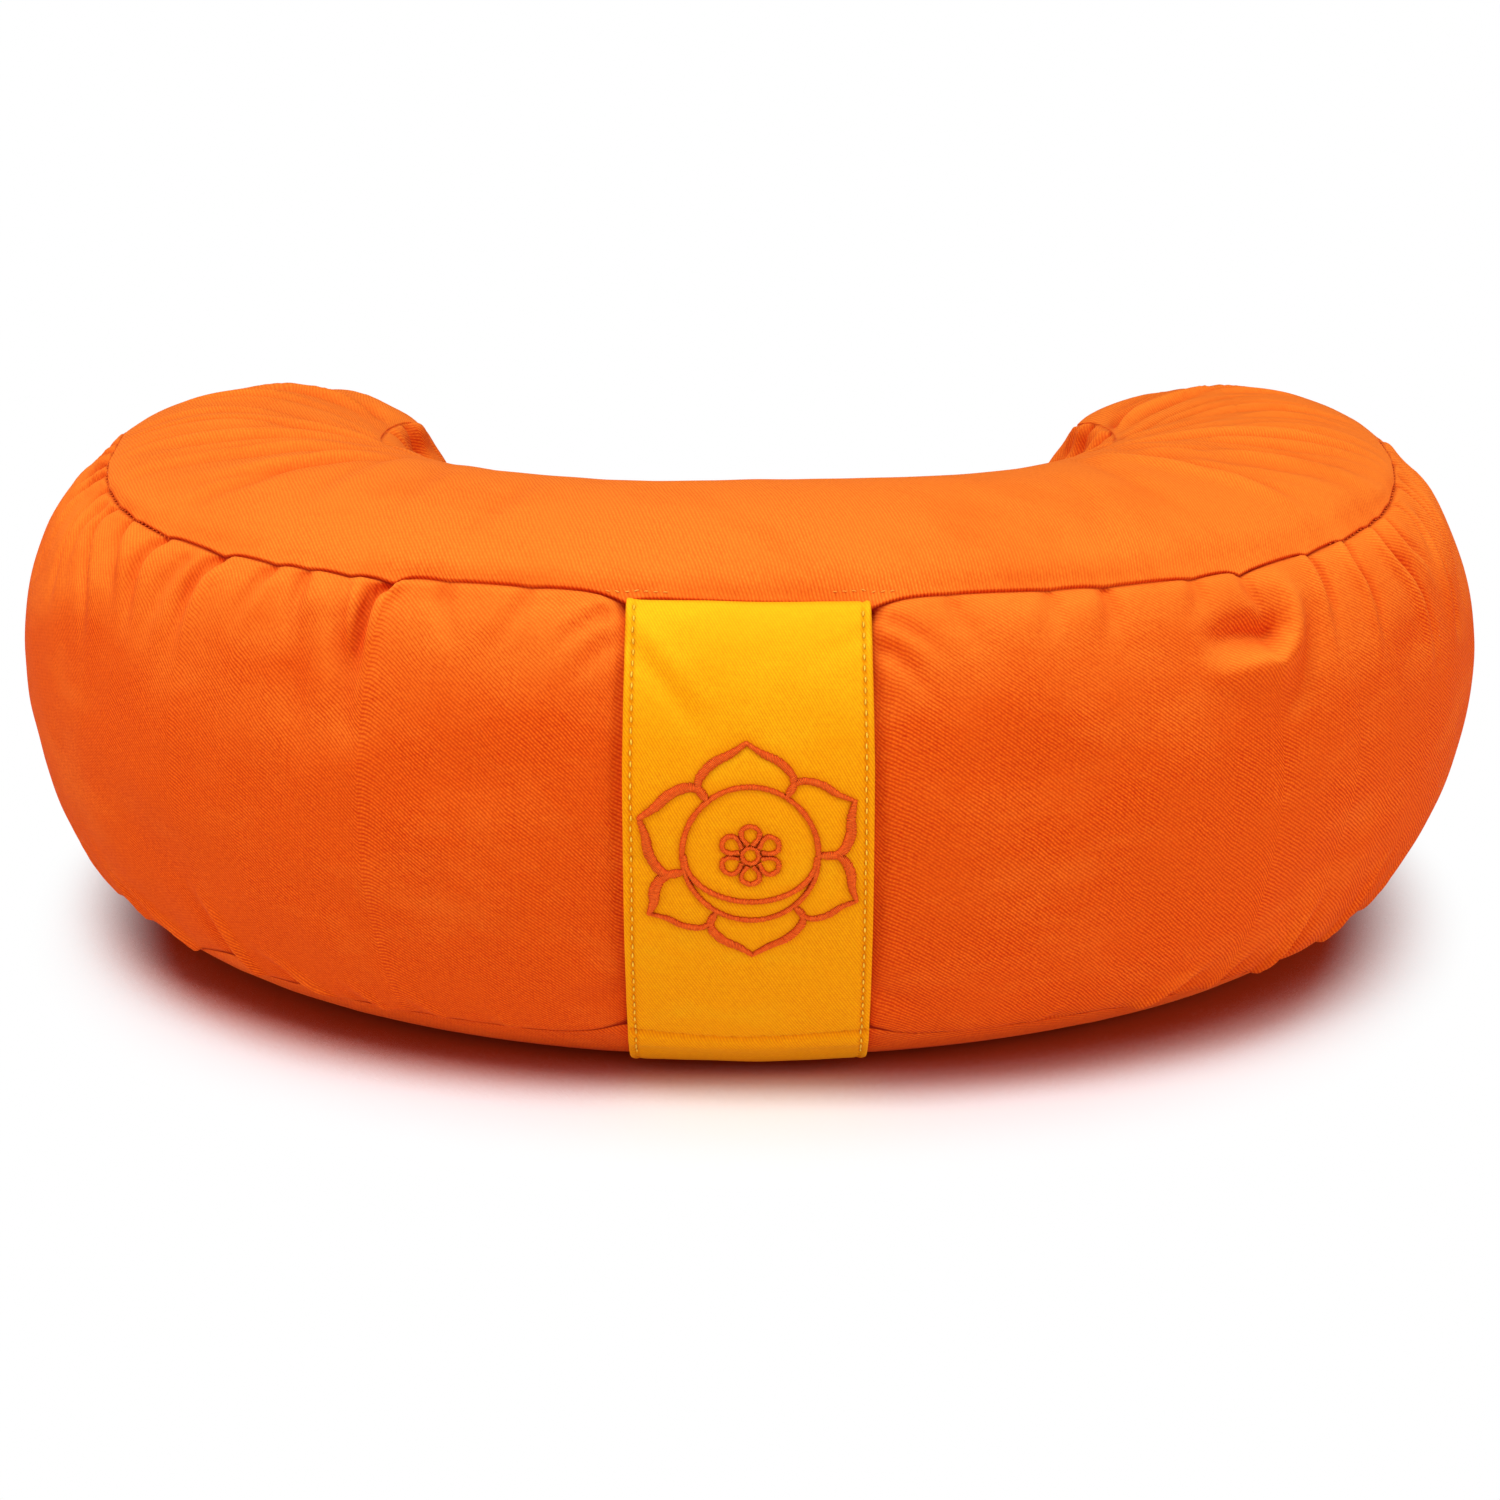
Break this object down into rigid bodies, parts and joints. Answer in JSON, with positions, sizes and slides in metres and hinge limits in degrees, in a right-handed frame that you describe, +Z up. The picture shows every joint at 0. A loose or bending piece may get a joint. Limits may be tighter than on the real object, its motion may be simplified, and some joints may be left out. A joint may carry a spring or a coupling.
{
  "type": "crescent meditation cushion",
  "caption": "Husk-filled crescent floor cushion with a domed top, bulging side wall and a flat cloth carry band down its front.",
  "frame": {"origin": "middle of the cushion's box, on the surface that it rests on", "axes": "+Z up, +X across the width, the round front with the band facing -Y and the horns pointing +Y"},
  "size_m": [0.4596, 0.2704, 0.16],
  "materials": {
    "orange_twill": "matt cotton twill, bright orange",
    "yellow_twill": "matt cotton twill, golden yellow, with orange stitching"
  },
  "bodies": {
    "root": {"cushion": "orange_twill", "handle_band": "yellow_twill"}
  },
  "joints": []
}
